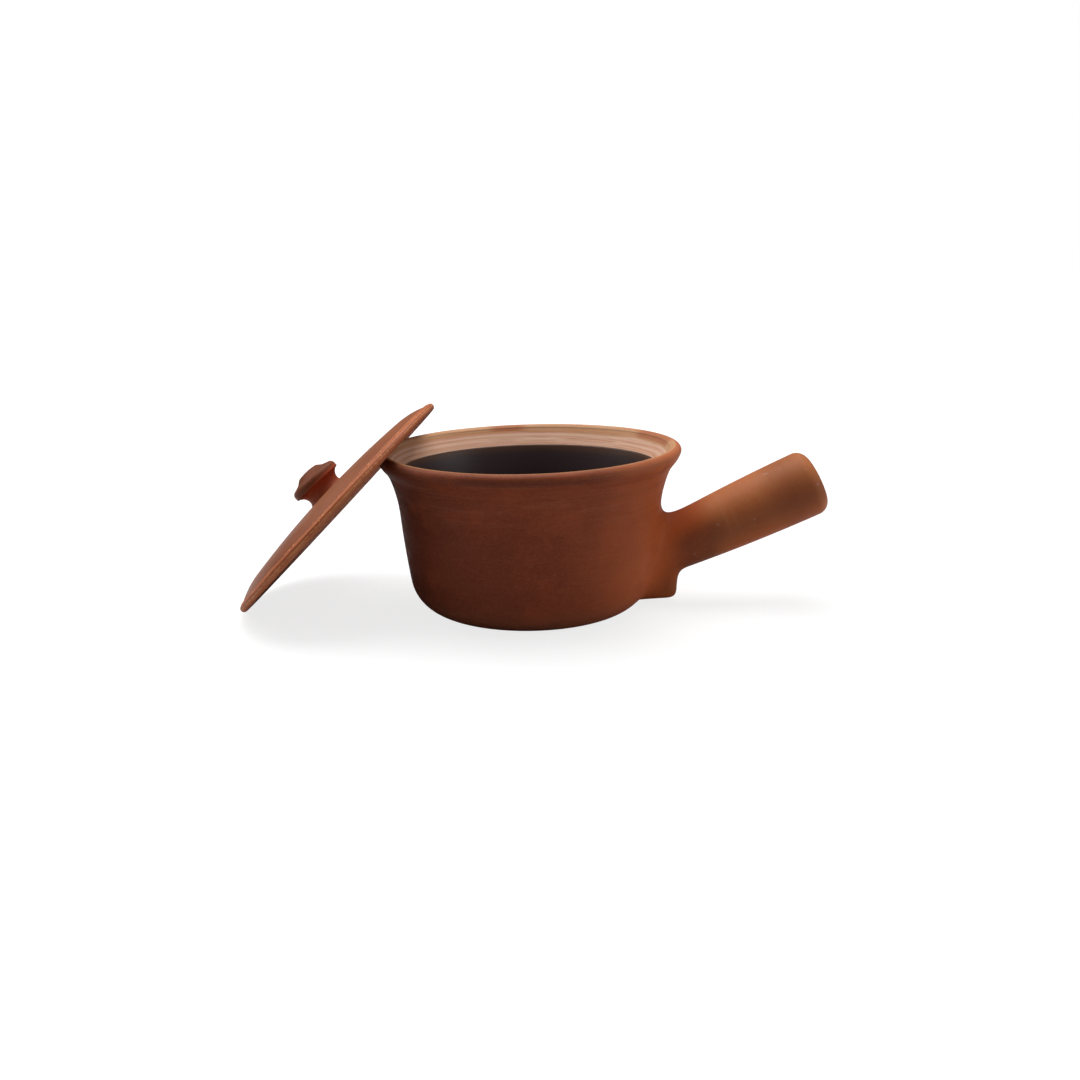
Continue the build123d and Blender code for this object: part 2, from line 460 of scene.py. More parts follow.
def handmade(vertices):
    """The pot's slight unevenness: a rim a little out of true and a wall a little out of round.

    It is one smooth shift for every piece of the pot, so they stay together, and it only draws the wall in.
    """
    x, y, z = np.array(vertices, float).T
    angle = np.arctan2(y, x)
    share = np.clip((z - neck_height) / (pot_height - neck_height), 0, 1)
    upper = share ** 2 * (3 - 2 * share)
    front = np.clip(-y / rim_radius, 0, 1)
    tilt = np.interp(x, (-rim_radius, rim_radius), (-rim_fall, rim_rise))
    wave = np.sin(2 * angle + 0.8) / 2 + np.sin(3 * angle + z / heel_radius) / 4
    near = np.clip(((1 + wobble_reach) * rim_radius - np.hypot(x, y)) / (wobble_reach * rim_radius), 0, 1)
    scale = 1 - hand_wobble * near * (0.75 + wave) * np.clip(z / neck_height, 0, 1) / rim_radius
    return np.stack([x * scale, y * scale, z + upper * (tilt - rim_dip * front ** 2)], 1)


def new_piece(name, vertices, faces, body, material, nodes, place=Matrix.Identity(4)):
    """A smooth-shaded piece made of millimetre vertices, standing for some CAD nodes."""
    mesh = bpy.data.meshes.new(name)
    mesh.from_pydata((np.array(vertices) * MM).tolist(), [], [list(map(int, f)) for f in faces])
    mesh.transform(place)
    mesh.validate()
    mesh.shade_smooth()
    mesh.materials.append(material)
    piece = bpy.data.objects.new(name, mesh)
    bpy.context.scene.collection.objects.link(piece)
    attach(piece, body)
    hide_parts(*nodes)
    return piece


def bowl_distance(x, y, z):
    """Signed distance in millimetres from the bowl's outside, outward positive, near its wall."""
    outline = outer_points()
    outline = outline[: np.argmax(outline[:, 0]) + 1]
    radius = np.interp(z, outline[:, 1], outline[:, 0])
    rise = outline[:, 1] + 1e-7 * np.arange(len(outline))
    slope = np.interp(z, outline[:, 1], np.gradient(outline[:, 0], rise))
    return (np.hypot(x, y) - radius) / np.sqrt(1 + slope ** 2)


def handle_radius(along):
    """Radius of the swelling handle at a distance along its axis from the neck."""
    length = handle_length + handle_root_radius / math.cos(handle_rise)
    swell = handle_end_radius - handle_root_radius
    swell_radius = (length ** 2 + swell ** 2) / (2 * swell)
    return handle_end_radius - swell_radius + np.sqrt(swell_radius ** 2 - (handle_length - along) ** 2)


def handle_distance(x, y, z):
    """Signed distance from the handle's side."""
    across = x - neck_radius
    up = z - handle_root_height
    along = across * math.cos(handle_rise) + up * math.sin(handle_rise)
    over = up * math.cos(handle_rise) - across * math.sin(handle_rise)
    return np.hypot(over, y) - handle_radius(along)


def foot_distance(x, y, z):
    """Signed distance from the foot block, without its sole."""
    grow = foot_draft * (z - foot_gap)
    side = np.abs(y) - (foot_half_width + grow - foot_corner_radius)
    front = x - (foot_reach + grow - foot_corner_radius)
    outside = np.hypot(np.maximum(side, 0), np.maximum(front, 0))
    block = outside + np.minimum(np.maximum(side, front), 0) - foot_corner_radius
    return np.maximum(block, z - handle_root_height)


def blended(a, b, width):
    """Union of two distance fields with a soft hollow of the given width where they meet."""
    overlap = np.maximum(width - np.abs(a - b), 0) / width
    return np.minimum(a, b) - overlap ** 3 * width / 6


def root_field(x, y, z):
    """Distance field of the clay round the handle's root and the foot block.

    Beyond the blends, its skin sinks slowly below the bowl's and the handle's, which then show.
    """
    bowl = bowl_distance(x, y, z)
    handle = handle_distance(x, y, z)
    foot = foot_distance(x, y, z)
    skin = blended(blended(handle, bowl, root_blend), foot, foot_blend)
    past_wall = np.maximum(np.minimum(handle, foot) - bowl - root_reach, 0)
    past_handle = np.maximum(np.minimum(bowl, foot) - handle - root_reach, 0)
    skin = skin + root_sink * (past_wall ** 2 + past_handle ** 2)
    sole = foot_gap - foot_sole_rise * (foot_reach - x) - z
    skin = -blended(-skin, -sole, 2 * foot_sole_rounding)
    inner_wall = -(bowl + wall_thickness / 2)
    inner_end = np.minimum(bowl, foot) - handle - 2 * root_blend
    return np.maximum(np.maximum(skin, inner_wall), inner_end)


def field_surface(field, low, high, step):
    """Closed quad mesh of a field's zero level, by one vertex in each grid cell that the level crosses."""
    axes = [np.arange(a, b + step, step) for a, b in zip(low, high)]
    grid = np.meshgrid(*axes, indexing="ij")
    value = field(*grid)
    inside = value < 0
    shape = tuple(n - 1 for n in value.shape)
    total, crossings = np.zeros(shape + (3,)), np.zeros(shape)
    offsets = [(i, j, k) for i in (0, 1) for j in (0, 1) for k in (0, 1)]
    for a in offsets:
        for axis in range(3):
            if a[axis]:
                continue
            b = tuple(v + (n == axis) for n, v in enumerate(a))
            cut_a = tuple(slice(v, v + n) for v, n in zip(a, shape))
            cut_b = tuple(slice(v, v + n) for v, n in zip(b, shape))
            crossed = inside[cut_a] != inside[cut_b]
            share = np.where(crossed, value[cut_a] / np.where(crossed, value[cut_a] - value[cut_b], 1), 0)
            for n in range(3):
                corner = a[n] + (share if n == axis else 0)
                total[..., n] += np.where(crossed, corner, 0)
            crossings += crossed
    active = crossings > 0
    number = np.full(shape, -1)
    number[active] = np.arange(active.sum())
    cells = np.argwhere(active)
    vertices = np.array(low) + step * (cells + total[active] / crossings[active][:, None])
    faces = []
    for axis in range(3):
        u, v = (axis + 1) % 3, (axis + 2) % 3
        start = [slice(1, -1)] * 3
        start[axis] = slice(0, -1)
        after = list(start)
        after[axis] = slice(1, None)
        here, there = inside[tuple(start)], inside[tuple(after)]
        found = np.argwhere(here != there)
        cell = found + np.array([0 if n == axis else 1 for n in range(3)])
        ring = []
        for du, dv in ((-1, -1), (0, -1), (0, 0), (-1, 0)):
            move = np.zeros(3, int)
            move[u], move[v] = du, dv
            ring.append(number[tuple((cell + move).T)])
        quads = np.stack(ring, 1)
        leaving = here[tuple(found.T)]
        quads[~leaving] = quads[~leaving][:, ::-1]
        faces.append(quads)
    return vertices, np.vstack(faces)


def field_slope(field, points, step=0.05):
    """Gradient of a field at some points."""
    slope = []
    for n in range(3):
        move = np.zeros(3)
        move[n] = step
        slope.append((field(*(points + move).T) - field(*(points - move).T)) / (2 * step))
    return np.stack(slope, 1)


def handle_place():
    """The handle's place: its own Z runs out along its axis from the bowl's neck."""
    shift = Matrix.Translation(Vector((neck_radius, 0, handle_root_height)) * MM)
    return shift @ Matrix.Rotation(math.pi / 2 - handle_rise, 4, "Y")


def lid_place():
    """The lid's place: standing on its lower edge, with its hollow side against the lip."""
    up_slope = lid_radius - lid_overreach
    above_rest = lid_hollow_depth - lip_roll_radius - lid_rest_clearance
    run = lid_radius - lid_nose_radius + up_slope
    rise = above_rest - lid_nose_radius
    lip_height = pot_height - lip_roll_radius
    tilt = math.asin((lip_height - lid_nose_radius) / math.hypot(run, rise)) - math.atan2(rise, run)
    away = lip_crest[0] + up_slope * math.cos(tilt) - above_rest * math.sin(tilt)
    height = lip_height - up_slope * math.sin(tilt) - above_rest * math.cos(tilt)
    shift = Matrix.Translation(Vector((lid_settling - away, 0, height)) * MM)
    return Matrix.Rotation(lid_turn, 4, "Z") @ shift @ Matrix.Rotation(-tilt, 4, "Y")


def make_bowl(material):
    """The thrown bowl: flat base, round heel, flared neck, rolled lip, gallery and inside."""
    base = line_to((0, 0), (base_radius, 0), 24)
    outside = eased(outer_points(), outline_wear)
    profile = np.vstack([[(0, 0)], base[:-1], outside, gallery_points(), cup_points(wall_thickness)[1:]])
    vertices, faces = lathe(profile, 256)
    return new_piece("bowl_clay", handmade(vertices), faces, "pot", material, ["bowl"])


def make_glaze(material):
    """The glaze coat, from the throat down the inside."""
    coat = cup_points(wall_thickness + glaze_thickness)
    under = cup_points(wall_thickness + glaze_backing)
    vertices, faces = lathe(np.vstack([under[::-1], coat]), 256)
    return new_piece("glaze_coat", handmade(vertices), faces, "pot", material, ["inner_glaze"])


def make_handle(material):
    """The thrown stick, rounded at its end, with its vent hole."""
    along = np.linspace(0, handle_length - handle_end_rounding, 160)
    side = np.stack([handle_radius(along), along], 1)
    end = (handle_end_radius - handle_end_rounding, handle_length)
    shoulder, _ = arc_to(side[-1], side[-1] - side[-2], end, 24)
    face = line_to(end, (vent_radius + vent_edge_rounding, handle_length), 16)
    vent_edge = (vent_radius, handle_length - vent_edge_rounding)
    vent_foot = (vent_radius, handle_length - vent_depth)
    vent = line_to(vent_edge, vent_foot, 12)
    profile = np.vstack([[(0, 0)], side, shoulder, face, vent, [(0, vent_foot[1])]])
    vertices, faces = lathe(profile, 128)
    upper = np.clip(-vertices[:, 0] / handle_end_radius, 0, 1)
    near_end = np.clip(1 - (handle_length - vertices[:, 2]) / (2 * handle_end_rounding), 0, 1)
    vertices[:, 2] -= handle_end_droop * upper ** 2 * near_end
    nodes = ["stick_handle"]
    return new_piece("stick", vertices, faces, "pot", material, nodes, handle_place())


def make_root(material):
    """The worked clay round the handle's root, with the foot block."""
    vertices, faces = field_surface(root_field, root_low, root_high, root_cell)
    for _ in range(2):
        slope = field_slope(root_field, vertices)
        size = np.maximum((slope ** 2).sum(1), 0.25)
        move = slope * (root_field(*vertices.T) / size)[:, None]
        vertices = vertices - np.clip(move, -root_move_limit, root_move_limit)
    nodes = ["handle_root_and_foot"]
    return new_piece("root_and_foot", handmade(vertices), faces, "pot", material, nodes)


def make_lid(material):
    """The lid's disc, with the turned ridge and scraped band round its edge."""
    nose_centre = (lid_radius - lid_nose_radius, lid_nose_radius)
    band_top = (lid_ridge[0], lid_ridge[1] - lid_band_step)
    band_end = touch_point(band_top, nose_centre, lid_nose_radius, 1)
    rest_outside = (nose_centre[0], 0)
    rest_inside = (nose_centre[0] - lid_rest_width, 0)
    ceiling_edge = (lid_ceiling_radius, lid_hollow_depth)
    crown, heading = arc_to((0, lid_dome_height), (1, 0), lid_shoulder, 60)
    fall, _ = arc_to(lid_shoulder, heading, lid_ridge, 24)
    outward = np.array([band_top[1] - band_end[1], band_end[0] - band_top[0]])
    share = np.linspace(0, 1, lid_band_points + 1)[1:, None]
    bulge = lid_band_bulge * np.sin(math.pi * share) * outward / np.hypot(*outward)
    edge_band = line_to(band_top, band_end, lid_band_points) + bulge
    nose, _ = arc_to(rest_outside, (1, 0), band_end, 16)
    hollow, _ = arc_to(ceiling_edge, (1, 0), rest_inside, 24)
    profile = np.vstack([
        [(0, lid_dome_height)], crown, fall, [band_top], edge_band, nose[-2::-1], [rest_outside],
        line_to(rest_outside, rest_inside, 4), hollow[-2::-1],
        line_to(ceiling_edge, (0, lid_hollow_depth), 30),
    ])
    vertices, faces = lathe(profile[::-1], 256)
    return new_piece("lid_disc", vertices, faces, "lid", material, ["lid_dome"],
                     lid_place())


def make_knob(material):
    """The turned knob on the lid, set a little off the middle and tilted."""
    waist_low, _ = arc_to(knob_waist, (0, -1), knob_foot, 10)
    waist_high, _ = arc_to(knob_waist, (0, 1), knob_flange_low, 16)
    flange_top, _ = arc_to(knob_flange_high, (0, 1), knob_table, 10)
    button_top, _ = arc_to(knob_summit, (1, 0), knob_button, 12)
    profile = np.vstack([
        [(0, knob_foot[1])], waist_low[::-1], [knob_waist], waist_high,
        line_to(knob_flange_low, knob_flange_high, 4), flange_top, line_to(knob_table, knob_crown, 6),
        line_to(knob_crown, knob_button, 6), button_top[-2::-1], [knob_summit],
    ])
    vertices, faces = lathe(profile, 128)
    side, over = vertices[:, 0].copy(), vertices[:, 2].copy()
    vertices[:, 0] = knob_offset + side * math.cos(knob_tilt) + over * math.sin(knob_tilt)
    vertices[:, 2] = lid_dome_height + over * math.cos(knob_tilt) - side * math.sin(knob_tilt)
    return new_piece("lid_grip", vertices, faces, "lid", material, ["lid_knob"],
                     lid_place())


def node(tree, kind, inputs, **settings):
    """A new shader node with some settings, and its inputs set to values or joined to sockets."""
    made = tree.nodes.new("ShaderNode" + kind)
    for name, value in settings.items():
        setattr(made, name, value)
    for name, value in inputs.items():
        if isinstance(value, bpy.types.NodeSocket):
            tree.links.new(value, made.inputs[name])
        else:
            made.inputs[name].default_value = value
    return made


def calc(tree, operation, a, b=0.0):
    return node(tree, "Math", {0: a, 1: b}, operation=operation).outputs[0]


def plus(tree, a, b):
    return calc(tree, "ADD", a, b)


def times(tree, a, b):
    return calc(tree, "MULTIPLY", a, b)


def along_axis(tree, vector, axis):
    return node(tree, "SeparateXYZ", {0: vector}).outputs[axis]


def faded(tree, value, low, high):
    """0 where a value is below low and 1 where it is above high, with an eased step between."""
    inputs = {"Value": value, "From Min": low, "From Max": high}
    return node(tree, "MapRange", inputs, interpolation_type="SMOOTHSTEP").outputs[0]


def scaled(tree, value, low, high):
    """A share from 0 to 1 spread over another range."""
    return node(tree, "MapRange", {"Value": value, "To Min": low, "To Max": high}).outputs[0]


def band(tree, value, low, high, edge):
    """1 between two values and 0 outside them, with soft edges."""
    rising = faded(tree, value, low - edge, low + edge)
    return times(tree, rising, faded(tree, value, high + edge, high - edge))


def noise(tree, vector, size, detail=2.0, roughness=0.5):
    """Cloudy noise from 0 to 1 whose features have about the given size in millimetres."""
    inputs = {"Vector": vector, "Scale": 1 / size, "Detail": detail, "Roughness": roughness}
    return node(tree, "TexNoise", inputs).outputs["Fac"]


def mixed(tree, share, a, b):
    return node(tree, "MixRGB", {"Fac": share, "Color1": a, "Color2": b}).outputs[0]


def tinted(tree, colour, tint, mask, share):
    """A colour with a tint laid over it where the mask is, at most by the given share."""
    return mixed(tree, times(tree, mask, share), colour, tint)


def own_place(tree, place):
    """Position in a turned piece's own frame in millimetres, distance from its axis, and height."""
    location, rotation, _ = place.decompose()
    position = node(tree, "TexCoord", {}).outputs["Object"]
    inputs = {"Vector": position, "Location": location,
              "Rotation": rotation.to_euler(), "Scale": (MM, MM, MM)}
    own = node(tree, "Mapping", inputs, vector_type="TEXTURE").outputs[0]
    level = node(tree, "VectorMath", {0: own, 1: (1, 1, 0)}, operation="MULTIPLY").outputs[0]
    radius = node(tree, "VectorMath", {0: level}, operation="LENGTH").outputs["Value"]
    return own, radius, along_axis(tree, own, "Z")


def turning_marks(tree, own, radius, height, pitch, drift=6.0):
    """Rings left by turning: noise that runs fast along the section and slowly round the axis."""
    wander = times(tree, noise(tree, own, ring_wander_size, 1.0), drift * pitch)
    along = node(tree, "CombineXYZ", {"X": radius, "Y": height, "Z": wander}).outputs[0]
    return noise(tree, along, pitch, 3.0, 0.6)


def specks(tree, own, spacing, radius, share):
    """Small round grains, one in some of the cells of the given spacing."""
    cells = node(tree, "TexVoronoi", {"Vector": own, "Scale": 1 / spacing})
    near = faded(tree, cells.outputs["Distance"], radius / spacing, 0.6 * radius / spacing)
    chosen = calc(tree, "LESS_THAN", along_axis(tree, cells.outputs["Color"], "X"), share)
    return times(tree, near, chosen)


def finished(tree, colour, roughness, heights, specular=0.12):
    """Joins colour, roughness and bumps, given as (height share, depth in millimetres), to the shader."""
    shader = tree.nodes["Principled BSDF"]
    shader.inputs["Specular IOR Level"].default_value = specular
    tree.links.new(colour, shader.inputs["Base Color"])
    tree.links.new(roughness, shader.inputs["Roughness"])
    normal = None
    for height, depth in heights:
        inputs = {"Height": height, "Distance": depth * MM, "Strength": 1.0}
        if normal:
            inputs["Normal"] = normal
        normal = node(tree, "Bump", inputs).outputs[0]
    tree.links.new(normal, shader.inputs["Normal"])


def new_material(name):
    material = bpy.data.materials.new(name)
    material.use_nodes = True
    return material, material.node_tree


def fired_clay(tree):
    """The pot's bare red clay: browner away from the handle and more orange towards it, partly as painted
    light from the right, with painted shade round the handle's root and on the left side, and soft blotches.

    It goes by the place on the pot, so the pieces of the pot match where they meet.
    """
    inputs = {"Vector": node(tree, "TexCoord", {}).outputs["Object"], "Scale": (1 / MM, 1 / MM, 1 / MM)}
    place = node(tree, "Mapping", inputs).outputs[0]
    x = along_axis(tree, place, "X")
    z = along_axis(tree, place, "Z")
    drift = scaled(tree, noise(tree, place, zone_drift_size, 3.0), -zone_drift, zone_drift)
    across = plus(tree, x, drift)
    # Browner on the left, more orange towards the handle: partly clay colour, partly painted light from the
    # right
    colour = mixed(tree, faded(tree, across, *brown_to_red), clay_brown, clay_red)
    colour = mixed(tree, faded(tree, across, *red_to_orange), colour, clay_orange)
    colour = mixed(tree, faded(tree, across, *orange_to_handle), colour, clay_handle)

    # Painted shade on the handle's root and the wall beside it, below the handle's top
    steady = plus(tree, x, times(tree, drift, 0.2))
    over_start = plus(tree, z, times(tree, x, -math.tan(handle_rise)))
    axis_start = handle_root_height - neck_radius * math.tan(handle_rise)
    below_top = faded(tree, over_start, *(axis_start + top for top in root_shade_top))
    shade = times(tree, band(tree, steady, *root_shade, root_shade_edge), below_top)
    colour = tinted(tree, colour, painted_shade_umber, shade, share=0.65)

    # Painted shade on the pot's left side
    left_shade = scaled(tree, faded(tree, z, *left_shade_heights), 0.35, 0.8)
    colour = mixed(tree, times(tree, faded(tree, across, *left_shade_zone), left_shade), colour, painted_shade_brown)
    blotches = faded(tree, noise(tree, place, blotch_size, 4.0, 0.6), 0.45, 0.75)
    colour = tinted(tree, colour, clay_blush, blotches, share=0.45)
    grain = noise(tree, place, grain_size, 3.0, 0.7)
    colour = tinted(tree, colour, clay_dust, faded(tree, grain, *all_marks), share=0.14)
    grains = specks(tree, place, speck_spacing, speck_radius, 0.25)
    colour = tinted(tree, colour, clay_speck, grains, share=0.7)
    return colour, place, grain


def lip_colour(tree, colour, x, angle, radius, height):
    """Painted shade under the lip's roll on the front, painted shadow of the lid beside it, a painted
    highlight on top of the roll, and the crest.
    """
    # Painted shade under the lip's roll
    under_roll = band(tree, height, *under_lip_shade_heights, under_lip_shade_edge)
    under_lip_shade = times(tree, under_roll, band(tree, angle, *under_lip_shade_span, under_lip_shade_span_edge))
    colour = tinted(tree, colour, painted_shade_brown, under_lip_shade, share=0.45)
    # Painted shadow of the lid on the lip
    lid_shadow = times(tree, faded(tree, x, *lid_shadow_zone), faded(tree, height, *lid_shadow_heights))
    colour = tinted(tree, colour, painted_shade_brown, lid_shadow, share=0.7)
    # A painted highlight on top of the lip's roll
    lip_highlight = scaled(tree, faded(tree, x, *lip_highlight_zone), 0.06, 0.42)
    colour = tinted(tree, colour, clay_pale, faded(tree, height, *lip_highlight_heights), lip_highlight)
    crest = times(tree, faded(tree, radius, *crest_zone), faded(tree, height, *crest_heights))
    return tinted(tree, colour, gallery_olive, crest, share=0.6)


def gallery_colour(tree, own, place, angle, radius, height, rings):
    """The scraped gallery: pale and pink rings, more olive under the lip, with two strokes of a red brush."""
    scrape = turning_marks(tree, own, radius, height, scrape_pitch, 3.0)
    scraped = mixed(tree, faded(tree, scrape, *even_marks), gallery_red, gallery_tan)
    bands = turning_marks(tree, own, radius, height, gallery_band_pitch, 2.5)
    scraped = tinted(tree, scraped, gallery_pale, faded(tree, bands, 0.42, 0.58), share=0.7)
    red_lines = turning_marks(tree, own, radius, height, red_line_pitch, 4.0)
    scraped = tinted(tree, scraped, gallery_red, faded(tree, red_lines, 0.56, 0.68), share=0.6)
    wander = scaled(tree, noise(tree, place, olive_size, 2.0), -olive_drift, olive_drift)
    high = faded(tree, plus(tree, height, wander), *olive_heights)
    scraped = tinted(tree, scraped, gallery_olive, high, share=0.65)
    ragged = plus(tree, height, times(tree, rings, brush_raggedness))
    for span in brush_spans:
        stroke = times(tree, band(tree, angle, *span, brush_span_edge), faded(tree, ragged, *brush_heights))
        scraped = tinted(tree, scraped, clay_blush, stroke, share=0.55)
    return scraped


def make_bowl_material():
    """Red clay with faint throwing rings, and the paler scraped gallery inside the lip."""
    material, tree = new_material("bowl_clay")
    own, radius, height = own_place(tree, Matrix.Identity(4))
    colour, place, grain = fired_clay(tree)
    x = along_axis(tree, own, "X")
    angle = calc(tree, "ARCTAN2", along_axis(tree, own, "Y"), x)
    rings = turning_marks(tree, own, radius, height, ring_pitch)
    wide_rings = turning_marks(tree, own, radius, height, wide_ring_pitch)
    upper = faded(tree, height, *ringed_wall)
    colour = tinted(tree, colour, clay_dust, faded(tree, rings, *most_marks), scaled(tree, upper, 0.03, 0.12))
    wide_marks = faded(tree, wide_rings, *strong_marks)
    colour = tinted(tree, colour, clay_brown, wide_marks, scaled(tree, upper, 0.10, 0.30))
    colour = lip_colour(tree, colour, x, angle, radius, height)

    depth = calc(tree, "SUBTRACT", pot_height, height)
    sloped = plus(tree, radius, times(tree, depth, gallery_slope_share))
    inside = times(tree, faded(tree, sloped, *gallery_zone), faded(tree, height, *throat_edge))
    scraped = gallery_colour(tree, own, place, angle, radius, height, rings)
    colour = mixed(tree, inside, colour, scraped)
    colour = tinted(tree, colour, clay_dust, faded(tree, height, *dusty_foot), share=0.24)
    roughness = scaled(tree, noise(tree, place, sheen_size, 3.0), 0.48, 0.66)
    heights = [(wide_rings, wide_ring_depth), (rings, ring_depth), (grain, grain_depth)]
    finished(tree, colour, roughness, heights)
    return material


def make_handle_material():
    """Red clay with the ribs of throwing round the stick and pale scuffs on top, painted light on its top and
    on the end's lower corner, painted bounce light underneath, painted shade along its sides and near its
    end, and a painted highlight on its ring.
    """
    material, tree = new_material("handle_clay")
    own, radius, height = own_place(tree, handle_place())
    colour, place, grain = fired_clay(tree)
    ribs = turning_marks(tree, own, radius, height, rib_pitch)
    rings = turning_marks(tree, own, radius, height, handle_ring_pitch)
    down = along_axis(tree, own, "X")
    past_root = faded(tree, height, *past_root_zone)
    under = faded(tree, down, *bounce_lit_underside)
    layers = (
        (faded(tree, ribs, *strong_marks), 0.16, clay_pale),
        (faded(tree, rings, *strong_marks), 0.12, clay_dust),
        # Painted shade along the middle of the sides, painted bounce light underneath, and painted light on
        # the top
        (band(tree, down, *shaded_flank_zone, shaded_flank_edge), 0.3, painted_shade_umber),
        (under, 0.45, clay_orange),
        (faded(tree, down, *lit_top_zone), 0.42, painted_top_light),
    )
    for mask, share, tint in layers:
        colour = tinted(tree, colour, tint, times(tree, mask, past_root), share)
    # A painted highlight on the upper side of the ring
    on_ring = band(tree, height, *bright_ring_zone, bright_ring_edge)
    ring_highlight = times(tree, on_ring, faded(tree, down, *ring_highlight_side))
    colour = tinted(tree, colour, clay_pale, ring_highlight, share=0.22)
    scuffs = faded(tree, noise(tree, place, scuff_size, 2.0), 0.68, 0.76)
    colour = tinted(tree, colour, scuff_grey, scuffs, share=0.3)
    # Painted shade near the end, and painted light on the end's lower corner
    colour = tinted(tree, colour, painted_shade_umber, band(tree, height, *end_shade, end_shade_edge), share=0.35)
    colour = tinted(tree, colour, clay_pale, faded(tree, height, *lit_end_zone), scaled(tree, under, 0.08, 0.6))
    roughness = scaled(tree, noise(tree, place, handle_sheen_size, 3.0), 0.42, 0.62)
    raised_ribs = times(tree, calc(tree, "SUBTRACT", ribs, 0.5), past_root)
    heights = [(raised_ribs, rib_depth), (rings, handle_ring_depth), (grain, grain_depth)]
    finished(tree, colour, roughness, heights)
    return material


def make_root_material():
    """The same clay where it was worked by hand, smeared and free of rings."""
    material, tree = new_material("root_clay")
    own, _, height = own_place(tree, Matrix.Identity(4))
    colour, place, grain = fired_clay(tree)
    smears = noise(tree, place, smear_size, 2.0)
    by_wall = faded(tree, along_axis(tree, own, "X"), *smear_zone)
    smeared = times(tree, faded(tree, smears, *most_marks), by_wall)
    colour = tinted(tree, colour, clay_orange, smeared, share=0.25)
    colour = tinted(tree, colour, clay_pale, faded(tree, height, *pale_foot), share=0.10)
    roughness = scaled(tree, noise(tree, place, sheen_size, 3.0), 0.46, 0.64)
    raised_smears = times(tree, calc(tree, "SUBTRACT", smears, 0.5), by_wall)
    finished(tree, colour, roughness, [(raised_smears, smear_depth), (grain, grain_depth)])
    return material


def make_glaze_material():
    """Brown-black semi-gloss glaze, thinner and browner where it ends at the throat."""
    material, tree = new_material("dark_glaze")
    own, radius, height = own_place(tree, Matrix.Identity(4))
    rings = turning_marks(tree, own, radius, height, glaze_ring_pitch)
    clouds = noise(tree, own, glaze_cloud_size, 1.0)
    colour = mixed(tree, clouds, glaze_black, glaze_blue)
    drifting = plus(tree, height, scaled(tree, clouds, -glaze_edge_drift, glaze_edge_drift))
    colour = tinted(tree, colour, glaze_brown, faded(tree, drifting, *glaze_edge), share=0.8)
    roughness = scaled(tree, clouds, 0.40, 0.48)
    dimples = noise(tree, own, glaze_dimple_size, 2.0)
    heights = [(rings, glaze_ring_depth), (dimples, glaze_dimple_depth)]
    finished(tree, colour, roughness, heights, specular=0.3)
    return material


def make_lid_material():
    """Burnished clay dome over a scraped, more orange band, with the turned ridge between them, painted
    highlights and glints on the ridge, band and nose, and a painted shade line on the band.

    The lid's underside is bare clay. It is told from the outside by a height that falls towards the edge.
    """
    material, tree = new_material("lid_clay")
    own, radius, height = own_place(tree, lid_place())
    clouds = noise(tree, own, lid_cloud_size, 3.0)
    rings = turning_marks(tree, own, radius, height, lid_ring_pitch)
    colour = mixed(tree, faded(tree, clouds, *even_marks), lid_brown, lid_tan)
    colour = tinted(tree, colour, lid_red, faded(tree, rings, 0.4, 0.7), share=0.3)
    colour = tinted(tree, colour, lid_red, faded(tree, radius, *lid_outer_zone), share=0.6)

    on_band = times(tree, faded(tree, radius, *lid_band_zone), faded(tree, height, *lid_band_foot))
    chatter = turning_marks(tree, own, radius, height, chatter_pitch)
    scraped = mixed(tree, faded(tree, chatter, *even_marks), band_red, band_orange)
    colour = mixed(tree, on_band, colour, scraped)
    # Painted highlight flecks on the ridge, and painted glints on the band
    flecks = faded(tree, noise(tree, own, ridge_fleck_size, 2.0), 0.42, 0.62)
    on_ridge = band(tree, radius, *lid_ridge_zone, lid_ridge_edge)
    colour = tinted(tree, colour, painted_highlight_gold, on_ridge, scaled(tree, flecks, 0.05, 0.7))
    glints = faded(tree, noise(tree, own, glint_size, 2.0), 0.62, 0.7)
    colour = tinted(tree, colour, painted_highlight_gold, times(tree, glints, on_band), share=0.7)
    # A painted shade line on the band
    colour = tinted(tree, colour, clay_brown, band(tree, height, *lid_shade_line, lid_line_edge), share=0.5)
    # Painted highlight flecks in a line below the shade line
    worn = faded(tree, noise(tree, own, highlight_fleck_size, 3.0), 0.4, 0.6)
    on_highlight_line = band(tree, height, *lid_highlight_line, lid_line_edge)
    colour = tinted(tree, colour, painted_highlight_gold, on_highlight_line, scaled(tree, worn, 0.25, 0.85))
    # A painted highlight on the lid's nose
    colour = tinted(tree, colour, clay_pale, faded(tree, height, *lid_nose_highlight_zone), share=0.75)

    past_middle = calc(tree, "MAXIMUM", calc(tree, "SUBTRACT", radius, lid_beneath_radius), 0.0)
    raised = plus(tree, height, times(tree, past_middle, lid_beneath_slope))
    beneath = faded(tree, raised, *lid_beneath_zone)
    bare = mixed(tree, scaled(tree, faded(tree, rings, *all_marks), 0.2, 0.55), clay_blush, clay_pale)
    colour = tinted(tree, colour, bare, beneath, share=0.85)
    roughness = plus(tree, scaled(tree, clouds, 0.36, 0.5), times(tree, on_band, 0.1))
    roughness = plus(tree, roughness, times(tree, beneath, 0.22))
    wide_rings = turning_marks(tree, own, radius, height, lid_wide_ring_pitch)
    grain = noise(tree, own, lid_grain_size, 3.0, 0.7)
    heights = [(wide_rings, lid_wide_ring_depth), (rings, lid_ring_depth), (grain, lid_grain_depth)]
    finished(tree, colour, roughness, heights, specular=0.3)
    return material


